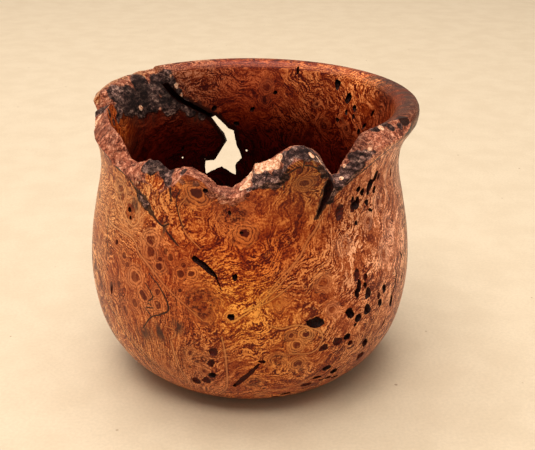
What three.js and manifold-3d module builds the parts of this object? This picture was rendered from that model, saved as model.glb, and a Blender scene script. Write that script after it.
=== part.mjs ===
// A small hollow vessel turned from one piece of maple burl, with a natural edge.
//
// Millimetres, +Z up. The origin is the centre of the flat foot, and the turning axis is Z.
// An angle goes round the axis from the front (-Y) towards the right (+X).
//
// The piece is made the way the real one is: a turned shell with a flared, flat-topped lip,
// then the burl's own lumpy outside cuts its rim away at the front and left, a bark pocket
// has broken through the back wall, and two bark seams have opened into cracks.

import * as THREE from 'three';
import { mergeVertices } from 'three/addons/utils/BufferGeometryUtils.js';
import Module from 'manifold-3d';

const wasm = await Module();
wasm.setup();

// ---- driving dimensions ----------------------------------------------------------------

const HEIGHT = 131;             // foot to the top of the turned lip
const FOOT_RADIUS = 38;         // flat disc that it stands on
const BELLY_RADIUS = 75;        // widest turned radius, below half height
const NECK_RADIUS = 68;         // narrowest outside radius, under the lip
const LIP_RADIUS = 75.6;        // outside of the flared lip
const FLOOR_THICKNESS = 10;     // wood left in the bottom
const COLUMNS = 72;             // facets round the turned shell
const EDGE_STEP = 3;            // widest step, in degrees, of the natural edge's surface

// Outside of the turned wall, [radius, height], foot to lip.
const OUTER_WALL = [
  [FOOT_RADIUS, 0],
  [48.5, 3.2],
  [57.5, 8.5],
  [66.3, 18.5],
  [72.3, 32],
  [BELLY_RADIUS, 51],
  [74, 69],
  [71.4, 84],
  [NECK_RADIUS + 0.7, 97],
  [NECK_RADIUS, 106],
  [69.6, 115],
  [75.1, 124.5],
];

// Blunt outer face, nearly flat top and rolled inner corner of the lip.
const LIP = [
  [75.1, 124.5],
  [LIP_RADIUS, 127.5],
  [75, 130],
  [72.5, HEIGHT],
  [68.5, 130.7],
  [65.4, 129],
  [64.1, 125.5],
];

// Inside of the turned wall, lip to the middle of the floor.
const INNER_WALL = [
  [64.1, 125.5],
  [62.2, 117],
  [60.6, 106],
  [61.4, 96],
  [64, 83],
  [66.5, 69],
  [67.5, 54],
  [66, 40],
  [61.5, 28],
  [53, 19],
  [40, 13.2],
  [22, FLOOR_THICKNESS + 0.6],
  [0, FLOOR_THICKNESS],
];

// Where the burl's own outside crosses the wall: [angle, height at the inner corner of the
// wall, height halfway across it, height on its outside]. A height above the lip leaves the
// wood standing.
const STANDING = 141;
const NATURAL_EDGE = [
  [-141, STANDING, STANDING, STANDING], // the turned rim ends here, at the seam down the back wall
  [-139.5, 112, 123, 129],
  [-132, 112, 125, 129.5],
  [-125, 114.5, 128.5, 128],          // bark pocket inside the lip
  [-115, 116, 129, 127.5],
  [-106, 118, 128.5, 126],
  [-102, 119, 127.5, 124],
  [-100, 121, 122, 119.5],            // notch at the end of the pocket
  [-98, 124, 123.5, 120.5],
  [-95, 125.5, 123, 118.5],
  [-88, 125.5, 121.5, 116.5],
  [-66, 123.5, 120, 116],
  [-60, 122.5, 118.5, 114],
  [-57, 118, 115, 111],
  [-54, 114, 113, 111],
  [-50, 113.5, 112, 110],
  [-46, 114.5, 112.5, 108],
  [-41, 117.5, 115, 108.5],           // bark nub
  [-37, 118, 115.5, 109],
  [-32, 115, 112.5, 106.5],
  [-26, 117, 115, 112],
  [-21, 117.5, 118, 118],
  [-16.5, 115, 115.5, 115.5],
  [-12.5, 111, 111, 111],
  [-7, 110.5, 109.5, 108],            // lowest dip of the front
  [-3.5, 113, 111.5, 109],
  [0.5, 117.5, 115, 112],
  [1.5, 121, 117.5, 112.5],
  [5, 122, 119.5, 115.5],
  [9, 125, 121, 115],
  [11.5, 127, 126.5, 124],
  [14, 128.5, 128.5, 126.5],          // bark-capped hump
  [18, 128.5, 128.5, 126],
  [21.5, 127, 126, 123],
  [25.5, 123, 121, 116.5],
  [29, 117, 114.5, 110],
  [32.5, 113, 111.5, 109.5],          // deep cleft on its right
  [35.5, 112.5, 113, 112.5],
  [37, 117.5, 116.5, 114.5],
  [40.5, 122.5, 120.5, 117],
  [43.5, 129.5, 126, 121.5],
  [47, 130.5, 128.5, 125],
  [52, 131.5, 129.5, 125],            // from here the cut runs out across the lip's flat top
  [56, 135, 130.5, 125.5],
  [60, 138, 132, 126.5],
  [64, STANDING, 135, 129.5],
  [68, STANDING, STANDING, STANDING],
];

// Outline of the break through the back wall, [angle, height] on the inner wall: a narrow
// channel above a wider bottom with two toes. It turns and falls a little going outwards.
const WALL_BREAK = [
  [-161, 103],                        // top of the channel
  [-163, 104],
  [-168, 98],
  [-172, 95],
  [-173, 88],
  [-175, 80],
  [-172, 76],
  [-172, 71],                         // one toe
  [-166, 76],
  [-159, 73],                         // the other toe
  [-158, 80],
  [-163, 80],
  [-168, 89],
  [-167, 93],
  [-164, 98],
];
const BREAK_TURN = -0.2;        // degrees in each millimetre outwards
const BREAK_DROP = -0.3;        // millimetres in each millimetre outwards

// Open seams, [angle, height, width] down the middle of each.
const FRONT_CLEFT = { side: 'outside', depth: 5, path: [
  [31, 117, 6.5],
  [28, 113, 5.5],
  [27, 107, 4.5],
  [23, 98, 0.5],
] };
const BACK_SEAM = { side: 'inside', depth: 4.5, path: [
  [-135, 132, 4],
  [-139, 123, 4],
  [-142, 118, 4],
  [-146, 114, 3.5],
  [-161, 104, 3],
] };

// ---- geometry helpers ------------------------------------------------------------------

function place(angle, radius, height) {
  const turn = THREE.MathUtils.degToRad(angle);
  return new THREE.Vector3(radius * Math.sin(turn), -radius * Math.cos(turn), height);
}

function smoothOutline(points, steps) {
  const curve = new THREE.SplineCurve(points.map(([radius, height]) => new THREE.Vector2(radius, height)));
  return curve.getPoints(steps);
}

// Radius of a sampled wall at a height.
function radiusAt(wall, height) {
  const rising = [...wall].sort((a, b) => a.y - b.y);
  const upper = rising.findIndex((point) => point.y >= height);
  if (upper < 0) return rising.at(-1).x;
  if (upper === 0) return rising[0].x;
  const [below, above] = [rising[upper - 1], rising[upper]];
  const share = (height - below.y) / (above.y - below.y || 1);
  return THREE.MathUtils.lerp(below.x, above.x, share);
}

// A closed solid from a geometry. Triangles that have shrunk to a line are left out, and a
// solid that comes out inside-out is turned the right way.
function toSolid(geometry) {
  const bare = geometry.clone();
  bare.deleteAttribute('normal');
  bare.deleteAttribute('uv');
  const merged = mergeVertices(bare, 1e-4);
  const index = merged.index.array;
  const triangles = [];
  for (let corner = 0; corner < index.length; corner += 3) {
    const [a, b, c] = index.slice(corner, corner + 3);
    if (a !== b && b !== c && c !== a) triangles.push([a, b, c]);
  }
  const vertProperties = new Float32Array(merged.attributes.position.array);
  const make = (faces) => new wasm.Manifold(new wasm.Mesh({
    numProp: 3,
    vertProperties,
    triVerts: new Uint32Array(faces.flat()),
  }));
  const solid = make(triangles);
  return solid.volume() > 0 ? solid : make(triangles.map(([a, b, c]) => [a, c, b]));
}

// A solid lofted through rings of points. Every ring has the same number of points. The run
// of rings either closes on itself or is capped at both ends.
function loft(rings, closed) {
  const size = rings[0].length;
  const positions = rings.flat().flatMap((point) => point.toArray());
  const faces = [];
  const lastRing = closed ? rings.length : rings.length - 1;
  for (let ring = 0; ring < lastRing; ring += 1) {
    const here = ring * size;
    const next = ((ring + 1) % rings.length) * size;
    for (let side = 0; side < size; side += 1) {
      const other = (side + 1) % size;
      faces.push(here + side, here + other, next + other);
      faces.push(here + side, next + other, next + side);
    }
  }
  if (!closed) {
    const end = (rings.length - 1) * size;
    const flat = THREE.ShapeUtils.triangulateShape(flatten(rings[0]), []);
    for (const [a, b, c] of flat) {
      faces.push(a, c, b);
      faces.push(end + a, end + b, end + c);
    }
  }
  const geometry = new THREE.BufferGeometry();
  geometry.setAttribute('position', new THREE.Float32BufferAttribute(positions, 3));
  geometry.setIndex(faces);
  return toSolid(geometry);
}

// A ring of points laid flat, for filling it with triangles.
function flatten(ring) {
  const across = ring[1].clone().sub(ring[0]).normalize();
  const spread = ring.map((point) => point.clone().sub(ring[0]));
  const normal = new THREE.Vector3();
  spread.forEach((arm, index) => {
    normal.add(arm.clone().cross(spread[(index + 1) % spread.length]));
  });
  normal.normalize();
  const up = normal.clone().cross(across);
  return spread.map((arm) => new THREE.Vector2(arm.dot(across), arm.dot(up)));
}

// ---- the vessel ------------------------------------------------------------------------

const outerWall = smoothOutline(OUTER_WALL, 16);
const lip = smoothOutline(LIP, 8);
const innerWall = smoothOutline(INNER_WALL, 16);

function turnedShell() {
  const profile = [
    new THREE.Vector2(0, 0),
    ...outerWall,
    ...lip.slice(1),
    ...innerWall.slice(1),
  ];
  const geometry = new THREE.LatheGeometry(profile, COLUMNS);
  geometry.rotateX(Math.PI / 2);
  return toSolid(geometry);
}

// Everything above the burl's natural surface. That surface crosses the wall in two slopes,
// inner height to middle to outer height, and carries on level past both.
function outsideTheBurl() {
  const beyondInside = 50;
  const beyondOutside = 90;
  const above = 160;
  const stations = [...NATURAL_EDGE, [NATURAL_EDGE[0][0] + 360, ...NATURAL_EDGE[0].slice(1)]];
  const rings = [];
  for (let index = 0; index < stations.length - 1; index += 1) {
    const from = stations[index];
    const to = stations[index + 1];
    const steps = Math.ceil((to[0] - from[0]) / EDGE_STEP);
    for (let step = 0; step < steps; step += 1) {
      const share = step / steps;
      const [angle, inner, middle, outer] = from.map((value, column) => (
        THREE.MathUtils.lerp(value, to[column], share)
      ));
      const innerRadius = radiusAt(innerWall, inner);
      const outerRadius = radiusAt(outerWall, outer);
      rings.push([
        place(angle, beyondInside, inner),
        place(angle, innerRadius, inner),
        place(angle, (innerRadius + outerRadius) / 2, middle),
        place(angle, outerRadius, outer),
        place(angle, beyondOutside, outer),
        place(angle, beyondOutside, above),
        place(angle, beyondInside, above),
      ]);
    }
  }
  return loft(rings, true);
}

function wallBreak() {
  const startRadius = 62.5;
  const ring = (radius) => WALL_BREAK.map(([angle, height]) => {
    const outwards = radius - startRadius;
    return place(angle + BREAK_TURN * outwards, radius, height + BREAK_DROP * outwards);
  });
  return loft([ring(56), ring(82)], false);
}

// A V-shaped groove that follows a seam over one side of the wall.
function seam({ side, depth, path }) {
  const wall = side === 'outside' ? outerWall : innerWall;
  const outward = side === 'outside' ? 1 : -1;
  const clearance = 2;
  const middle = path.map(([angle, height]) => place(angle, radiusAt(wall, height), height));
  const rings = path.map(([angle, , width], index) => {
    const along = middle[Math.min(index + 1, path.length - 1)].clone();
    along.sub(middle[Math.max(index - 1, 0)]).normalize();
    const normal = place(angle, outward, 0);
    const sideways = normal.clone().cross(along).normalize().multiplyScalar(width / 2);
    const surface = middle[index].clone().addScaledVector(normal, clearance);
    return [
      surface.clone().add(sideways),
      surface.clone().sub(sideways),
      middle[index].clone().addScaledVector(normal, -depth),
    ];
  });
  return loft(rings, false);
}

function vesselGeometry() {
  const cutters = [outsideTheBurl(), wallBreak(), seam(FRONT_CLEFT), seam(BACK_SEAM)];
  const solid = cutters.reduce((piece, cutter) => piece.subtract(cutter), turnedShell());
  const mesh = solid.getMesh();
  const geometry = new THREE.BufferGeometry();
  geometry.setAttribute('position', new THREE.BufferAttribute(new Float32Array(mesh.vertProperties), 3));
  geometry.setIndex(new THREE.BufferAttribute(new Uint32Array(mesh.triVerts), 1));
  geometry.computeVertexNormals();
  return geometry;
}

const oiledBurl = new THREE.MeshStandardMaterial({ color: 0xa4582c, roughness: 0.42, metalness: 0 });

const vessel = new THREE.Mesh(vesselGeometry(), oiledBurl);
vessel.name = 'burl_vessel';

const part = new THREE.Group();
part.add(vessel);

export default part;
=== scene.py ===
"""A small hollow vessel turned from one piece of maple burl, with a natural bark edge.

The driving sizes are millimetres in the row frame: +Z up along the turning axis, the origin at
the centre of the foot, and angles in degrees round the axis from the front (-Y) towards +X.
Blender's own units are metres, so meshes are scaled by MM when they are made.
"""

import math

import bmesh
import bpy
import numpy as np
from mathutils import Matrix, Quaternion, Vector, noise


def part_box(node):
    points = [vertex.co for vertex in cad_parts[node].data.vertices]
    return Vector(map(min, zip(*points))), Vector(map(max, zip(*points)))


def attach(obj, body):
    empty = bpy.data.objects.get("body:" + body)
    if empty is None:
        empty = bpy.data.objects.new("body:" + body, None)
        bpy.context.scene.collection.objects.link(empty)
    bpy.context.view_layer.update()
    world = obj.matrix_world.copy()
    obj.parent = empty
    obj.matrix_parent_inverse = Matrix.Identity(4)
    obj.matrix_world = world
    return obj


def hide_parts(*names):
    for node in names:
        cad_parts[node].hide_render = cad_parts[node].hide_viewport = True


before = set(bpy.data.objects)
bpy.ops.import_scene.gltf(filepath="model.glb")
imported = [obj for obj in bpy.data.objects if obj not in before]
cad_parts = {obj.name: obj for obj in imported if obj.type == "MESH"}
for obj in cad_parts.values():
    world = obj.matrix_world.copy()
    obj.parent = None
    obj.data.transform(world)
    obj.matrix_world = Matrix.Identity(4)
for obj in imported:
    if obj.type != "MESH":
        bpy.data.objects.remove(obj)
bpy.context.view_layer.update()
node_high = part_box("burl_vessel")[1]

MM = 0.001
HEIGHT = node_high[2] / MM

# ---- turned shell ----------------------------------------------------------------------

# [radius, height] on the outside, foot to lip.
OUTER_WALL = [
    (38, 0), (48.5, 3.2), (57.5, 8.5), (66.3, 18.5), (72.3, 32), (75, 51), (74, 69),
    (71.4, 84), (68.7, 97), (68, 106), (69.6, 115), (75.1, 124.5),
]
# Blunt outer face, nearly flat top and rolled inner corner.
LIP = [
    (75.1, 124.5), (75.6, 127.5), (75, 130), (72.5, HEIGHT), (68.5, 130.7), (65.4, 129),
    (64.1, 125.5),
]
# The inside, lip to the middle of the floor.
INNER_WALL = [
    (64.1, 125.5), (62.2, 117), (60.6, 106), (61.4, 96), (64, 83), (66.5, 69), (67.5, 54),
    (66, 40), (61.5, 28), (53, 19), (40, 13.2), (22, 10.6), (0, 10),
]
SHELL_COLUMNS = 330
SHELL_STEP = 1.6                # spacing of the rows along the profile

# ---- natural edge ----------------------------------------------------------------------

# [angle, height at the inner corner of the wall, height halfway across it, height on its
# outside]. A height above the lip leaves the turned wood standing.
STANDING = 141
NATURAL_EDGE = [
    (-141, STANDING, STANDING, STANDING), (-139.5, 112, 123, 129), (-132, 112, 125, 129.5),
    (-125, 114.5, 128.5, 128), (-115, 116, 129, 127.5), (-106, 118, 128.5, 126),
    (-102, 119, 127.5, 124), (-100, 121, 122, 119.5), (-98, 124, 123.5, 120.5),
    (-95, 125.5, 123, 118.5), (-88, 125.5, 121.5, 116.5), (-66, 123.5, 120, 116),
    (-60, 122.5, 118.5, 114), (-57, 118, 115, 111), (-54, 114, 113, 111), (-50, 113.5, 112, 110),
    (-46, 114.5, 112.5, 108), (-41, 117.5, 115, 108.5), (-37, 118, 115.5, 109),
    (-32, 115, 112.5, 106.5), (-26, 117, 115, 112), (-21, 117.5, 118, 118),
    (-16.5, 115, 115.5, 115.5), (-12.5, 111, 111, 111), (-7, 110.5, 109.5, 108),
    (-3.5, 113, 111.5, 109), (0.5, 117.5, 115, 112), (1.5, 121, 117.5, 112.5),
    (5, 122, 119.5, 115.5), (9, 125, 121, 115), (11.5, 127, 126.5, 124), (14, 128.5, 128.5, 126.5),
    (18, 128.5, 128.5, 126), (21.5, 127, 126, 123), (25.5, 123, 121, 116.5), (29, 117, 114.5, 110),
    (32.5, 113, 111.5, 109.5), (35.5, 112.5, 113, 112.5), (37, 117.5, 116.5, 114.5),
    (40.5, 122.5, 120.5, 117), (43.5, 129.5, 126, 121.5), (47, 130.5, 128.5, 125),
    (52, 131.5, 129.5, 125), (56, 135, 130.5, 125.5), (60, 138, 132, 126.5),
    (64, STANDING, 135, 129.5), (68, STANDING, STANDING, STANDING),
]
EDGE_COLUMNS = 900
EDGE_ROWS = 34
EDGE_RADII = (58, 78)           # between these the natural surface is modelled in full
CUTTER_RADII = (52, 86)         # and the cutter that leaves it reaches from here to here
CUTTER_TOP = 160

# ---- break and seams -------------------------------------------------------------------

# Outline of the break through the back wall, [angle, height] on the inner wall.
WALL_BREAK = [
    (-161, 103), (-163, 104), (-168, 98), (-172, 95), (-173, 88), (-175, 80), (-172, 76),
    (-172, 71), (-166, 76), (-159, 73), (-158, 80), (-163, 80), (-168, 89), (-167, 93), (-164, 98),
]
BREAK_TURN = -0.2               # degrees that the break turns in each millimetre outwards
BREAK_DROP = -0.3               # and its fall in each millimetre
BREAK_RADIUS = 62.5             # where the outline above holds
BREAK_FLARE = 0.02              # how much it widens in each millimetre outwards
BREAK_ROUGHNESS = 0.08

# [angle, height, width] down the middle of each open seam.
FRONT_CLEFT = [
    (31, 117, 6.5), (28, 113, 5.5), (27, 107, 4.5), (23, 98, 0.5),
]
FRONT_CLEFT_DEPTH = 5
BACK_SEAM = [
    (-135, 132, 4), (-139, 123, 4), (-142, 118, 4), (-146, 114, 3.5), (-161, 104, 3),
]
BACK_SEAM_DEPTH = 4.5

# ---- pits, holes and cracks ------------------------------------------------------------

# [angle, height, width, height of the opening, tilt in degrees], on the outside of the wall.
BLACK_PITS = [
    (-6, 59, 2.4, 2, 0), (50, 109, 2, 3.4, 25), (47, 106, 3.2, 4, 30), (41, 106, 2, 2, 0),
    (43, 104, 2, 2.2, 20), (50, 103, 1.6, 2.4, 15), (46, 103, 1.4, 2, 0), (40, 100, 2.4, 4, 20),
    (38, 102, 1.4, 2.2, 10), (45, 99, 1.8, 1.8, 0), (47, 95, 2, 1.2, 20), (39, 92, 1.4, 1.4, 0),
    (73, 110, 1.2, 3.4, -15), (38, 65, 2, 4.4, 10), (41, 64, 1.8, 2.2, 0), (42, 60, 2.6, 3.6, -10),
    (37, 62, 1.8, 3.2, 0), (51, 58, 2, 2.8, -15), (49, 52, 2, 3, -20), (42, 52, 3, 4, -15),
    (38, 50, 2.8, 2.6, 0), (37, 47, 1.2, 1.2, 0), (34, 54, 4.6, 2.6, 30), (21, 54, 5, 3.6, 5),
    (34, 42, 3, 2.4, 0), (44, 34, 2.2, 3.4, -20), (28, 27, 3, 2.4, 15), (32, 23, 3.4, 2.2, 15),
    (25, 22, 3.2, 1.6, 10), (28, 19, 2, 1, 0), (31, 19, 2.8, 1.6, 15), (35, 17, 3.2, 1.6, 15),
    (-13, 28, 3.2, 2.4, -15), (-5, 76, 1.6, 2.6, 15), (-15, 111, 1.6, 1.4, -20),
    (-47, 95, 1.6, 1.6, 0), (-46, 92, 1.2, 1.2, 0), (-45, 111, 1, 2.2, -15), (23, 18, 1.6, 1, 0),
    (-3, 94, 1, 1, 0), (-7, 102, 1, 1.4, 0), (57, 49, 2, 4, -5),
]
BROWN_PITS = [
    (52, 108, 1.2, 2.2, 20), (38, 99, 2.2, 3, 10), (32, 98, 2.6, 5, 20), (37, 70, 2.4, 3.6, 10),
    (41, 68, 1.8, 2.4, 0), (48, 56, 1.8, 2.4, -10), (36, 38, 2, 2, 0), (44, 26, 3.2, 3.8, -20),
    (30, 41, 3.6, 3.2, 0), (25, 40, 3.6, 2.4, -15), (22, 18, 4.2, 2, 5), (15, 12, 3.6, 2.2, 5),
    (11, 9, 3, 2, 0), (-20, 22, 3, 3.4, 0), (-16, 24, 3, 3.4, 10), (-12, 41, 2.6, 2.6, 0),
    (-13, 35, 2, 3.2, 10), (4, 37, 2.4, 1.4, 20), (-52, 79, 1.2, 1.4, 0), (-54, 56, 1.2, 3.4, 10),
    (63, 106, 1, 3.4, -10),
]
# Holes in the inner wall that the mouth shows.
INNER_PITS = [
    (158, 128, 1.2, 3.6, -5), (137, 124, 2.6, 3.8, 10), (129, 119, 3, 3.8, -25),
    (124, 115, 1.8, 2.4, 20), (129, 112, 1.6, 1.8, 0), (110, 117, 1.4, 2.6, -30),
    (124, 111, 1.6, 1.8, 0), (134, 107, 1.8, 1.8, 0), (115, 109, 1.4, 3, -30),
    (119, 105, 1.6, 2.6, -20), (179, 107, 2, 2, 0), (168, 116, 1.8, 1.8, 0), (-162, 108, 2.2, 1.8, 0),
    (-173, 99, 2.4, 1.8, 0), (-146, 88, 1.6, 1.6, 0),
]
# Worm holes that run obliquely through the back wall: [angle, height] at their two ends.
PINHOLES = [((-143.5, 85), (-152, 78)), ((-178, 85), (-178.5, 79))]
PINHOLE_RADIUS = 0.55
PINHOLE_ENDS = (59, 77)         # radii of the two ends

# [angle, height, width] down the middle of each narrow crack in the outside.
BLACK_SLITS = [
    [(-19, 83, 2.2), (-18, 82, 3.6), (-15, 80, 3.4), (-12, 77, 2.6), (-11, 76, 1.2), (-9, 70, 0.4)],
    [(80, 64, 0.4), (80, 62, 0.8), (80, 60, 0.4)],
    [(64, 69, 0.4), (66, 66, 1.2), (67, 63, 0.4)],
    [(60, 62, 0.4), (60, 59, 1.4), (59, 55, 1.6), (57, 51, 0.5)],
    [(67, 58, 0.5), (66, 55, 2.4), (65, 52, 0.6)],
    [(55, 42, 0.4), (54, 39, 1.6), (53, 37, 0.4)],
    [(67, 112, 0.4), (65, 109, 0.9), (63, 107, 0.5)],
]
BROWN_GOUGE = [
    (-6, 21, 2), (-5, 23, 3.2), (-1, 29, 3.4), (2, 34, 2.6), (3, 36, 1.4),
]

# ---- figure of the burl ----------------------------------------------------------------

# [angle, height, radius, flatness, tilt, darkness of the heart, lightness of the rings, speckle]
EYES = [
    (-18, 109, 4.6, 0.9, -20, 1, 0.9, 0), (-6, 102, 5.8, 0.8, 0, 0.4, 0.4, 1),
    (-2, 94, 3.8, 1, 0, 1, 1, 0.3), (-53, 100, 4, 1.4, -15, 0.6, 0.8, 0.4),
    (-46, 94, 5.5, 1.2, 0, 0.1, 0.8, 0.5), (-35, 86, 4.2, 0.8, -15, 0.7, 1, 0.4),
    (-35, 81, 3.6, 1.2, -10, 0.7, 0.7, 0.3), (-29, 83, 2.2, 1.3, 0, 0.8, 0.2, 0),
    (-31, 79, 1.9, 1.1, 0, 0.8, 0.3, 0), (-27, 81, 2.3, 1.4, 10, 0.8, 0.2, 0),
    (-31, 76, 3, 0.9, -20, 0.9, 0.7, 0.2), (-52, 79, 2.4, 1, 0, 0.5, 0.3, 0),
    (-47, 75, 2.4, 1.2, 0, 0.8, 0.4, 0), (-45, 72, 1.8, 1.2, 0, 0.7, 0.4, 0),
    (-41, 68, 4, 1, 0, 0.6, 0.9, 0), (-22, 79, 1.7, 1, 0, 0.8, 0.3, 0),
    (-19, 76, 2.6, 1, 0, 0.9, 0.9, 0), (-23, 75, 2.4, 1.3, 0, 0.9, 0.3, 0),
    (-23, 68, 1.5, 1, 0, 1, 0.3, 0), (-37, 61, 3.2, 1.3, -25, 0.9, 0.5, 0),
    (-31, 59, 2.9, 1, 0, 0.7, 0.8, 0), (-31, 65, 2, 1.3, 0, 0.7, 0.6, 0),
    (-16, 64, 6, 1.1, -20, 0.3, 0.3, 1), (-54, 57, 2, 2.2, 12, 0.9, 0.4, 0),
    (-49, 61, 2, 1.6, 10, 0.8, 0.3, 0), (-41, 56, 2.6, 1.2, -15, 0.7, 0.4, 0),
    (13, 49, 2, 1, 0, 0.8, 0.5, 0), (18, 49, 2.8, 1, 0, 0.8, 1, 0.3),
    (15, 44, 2.8, 1.1, 0, 0.6, 0.9, 0), (9, 37, 3.6, 0.9, 0, 0.4, 0.6, 1),
    (16, 34, 3.1, 1, 0, 0.8, 0.7, 0.3), (1, 25, 3.4, 0.9, 0, 0.3, 0.6, 1),
    (18, 114, 3.4, 0.8, 0, 0.7, 0.6, 0.2), (-1, 110, 2, 1, 0, 1, 0.2, 0),
    (52, 97, 2.2, 1.2, 0, 0.5, 0.4, 0), (45, 91, 2.3, 1.2, 0, 0.3, 0.5, 0),
    (-20, 39, 2.2, 0.9, 0, 0.7, 0.5, 0.5), (-17, 36, 3.6, 0.7, 0, 0.2, 0.5, 1),
    (-21, 31, 1.6, 1, 0, 0.8, 0.3, 0), (-16, 30, 2, 0.9, 0, 0.5, 0.5, 0.5),
    (-38, 43, 3, 0.6, -10, 0.5, 0.1, 0), (-31, 46, 3.2, 0.6, -15, 0.5, 0.1, 0),
    (27, 58, 2.6, 1, 0, 0.3, 0.5, 0), (33, 84, 3.2, 1, 0, 0.1, 0.4, 0.2),
    (8, 66, 4, 0.8, 30, 0.1, 0.3, 0.2), (24, 71, 3.4, 0.9, 20, 0.1, 0.4, 0.2),
    (52, 74, 3, 1.5, 5, 0.3, 0.4, 0.2), (56, 86, 2.4, 1.6, 0, 0.4, 0.4, 0),
    (-6, 59, 1.9, 0.9, 0, 0.1, 1, 0), (-60, 90, 3, 1.8, 0, 0.3, 0.4, 0),
    (-64, 75, 3, 2, 8, 0.3, 0.4, 0), (-58, 70, 2, 1.8, 8, 0.7, 0.4, 0),
    (-46, 50, 2.4, 1.6, -15, 0.6, 0.4, 0), (5, 12, 3, 0.8, 0, 0.6, 0.8, 0.3),
    (-30, 28, 3.2, 0.8, -10, 0.2, 0.4, 0.2),
]
EYE_SPREAD = 1.25
# Dark lines, [angle, height, width] along each.
DARK_LINES = [
    [(-35, 72, 0.5), (-31, 68, 0.7), (-28, 63, 0.9), (-27, 58, 1), (-30, 55, 0.8), (-34, 52, 0.7),
     (-38, 45, 0.6)],
    [(-36, 67, 0.5), (-33, 62, 0.8), (-35, 59, 0.6), (-33, 57, 0.7), (-36, 56, 0.6), (-34, 53, 0.6)],
    [(-29, 91, 0.9), (-27, 89, 1.2), (-25, 87, 0.5)],
    [(-36, 98, 0.7), (-34, 95, 1), (-31, 93, 0.8), (-29, 94, 0.3)],
    [(-70, 119, 1.6), (-64, 116, 2.6), (-58, 113, 2.8), (-53, 111, 2), (-48, 109, 1),
     (-45, 106, 1.4), (-43, 104, 3.6), (-41, 102, 6), (-39, 100, 5.4), (-37, 98, 2.8), (-34, 95, 0.8)],
    [(16, 127, 0.6), (16, 124, 0.6), (16, 121, 0.4)],
    [(11, 113, 0.6), (11, 117, 0.9), (12, 120, 1), (15, 123, 0.9), (18, 123, 0.9), (22, 120, 1),
     (25, 115, 1), (25, 110, 0.9), (24, 106, 0.6)],
    [(-28, 110, 1.2), (-28, 107, 0.9), (-28, 105, 0.4)],
    [(-24, 110, 0.5), (-26, 105, 0.5), (-25, 99, 0.5), (-23, 94, 0.4)],
    [(-60, 88, 0.5), (-59, 78, 0.6), (-56, 70, 0.5)],
    [(-66, 60, 0.6), (-58, 48, 0.7), (-49, 36, 0.7), (-40, 27, 0.6), (-30, 20, 0.5)],
    [(38, 112, 0.6), (43, 115, 1), (48, 119, 1.1), (53, 122, 1), (58, 124, 0.8), (64, 126, 0.6)],
]
# Pale lines where two figures meet.
PALE_LINES = [
    [(-60, 86, 0.8), (-57, 85, 1.1), (-44, 84, 1.1), (-40, 79, 1.2), (-35, 75, 1.3), (-27, 67, 1.1),
     (-20, 61, 1), (-15, 56, 0.7)],
    [(-27, 45, 0.9), (-26, 36, 1.1), (-25, 27, 1.1), (-23, 19, 1), (-20, 15, 0.7)],
    [(-9, 49, 0.9), (-8, 39, 1.3), (-8, 26, 1.2), (-9, 19, 1.1), (-12, 14, 0.9)],
    [(25, 98, 0.9), (22, 93, 1.4), (19, 89, 1.2), (16, 83, 1.3), (10, 76, 1), (6, 70, 0.7)],
    [(6, 55, 0.8), (10, 53, 1.1), (15, 54, 1), (22, 50, 1), (24, 45, 1), (21, 39, 0.9), (13, 40, 0.8)],
    [(-22, 107, 0.9), (-25, 102, 0.9), (-24, 97, 1), (-22, 92, 1), (-17, 87, 0.8)],
    [(-51, 45, 0.9), (-43, 34, 1.1), (-34, 25, 1.1), (-24, 17, 0.9)],
    [(-63, 66, 0.8), (-57, 52, 1), (-50, 41, 1), (-41, 31, 0.8)],
    [(-5, 57, 1.2), (2, 64, 1), (9, 72, 0.9), (14, 80, 0.8)],
    [(-2, 62, 0.8), (6, 66, 0.8), (14, 73, 0.7)],
    [(-55, 101, 0.7), (-52, 96, 1), (-46, 89, 1), (-42, 91, 0.9), (-42, 96, 0.7)],
    [(3, 14, 0.9), (6, 17, 1.1), (14, 18, 1), (21, 21, 0.9), (25, 26, 0.7)],
    [(-28, 50, 0.9), (-25, 49, 0.9), (-25, 46, 0.9), (-27, 44, 0.8)],
    [(28, 100, 0.7), (29, 105, 1), (32, 108, 0.9), (35, 110, 0.7)],
    [(61, 122, 0.6), (60, 112, 1), (58, 104, 0.9), (60, 94, 0.7)],
]
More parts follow.
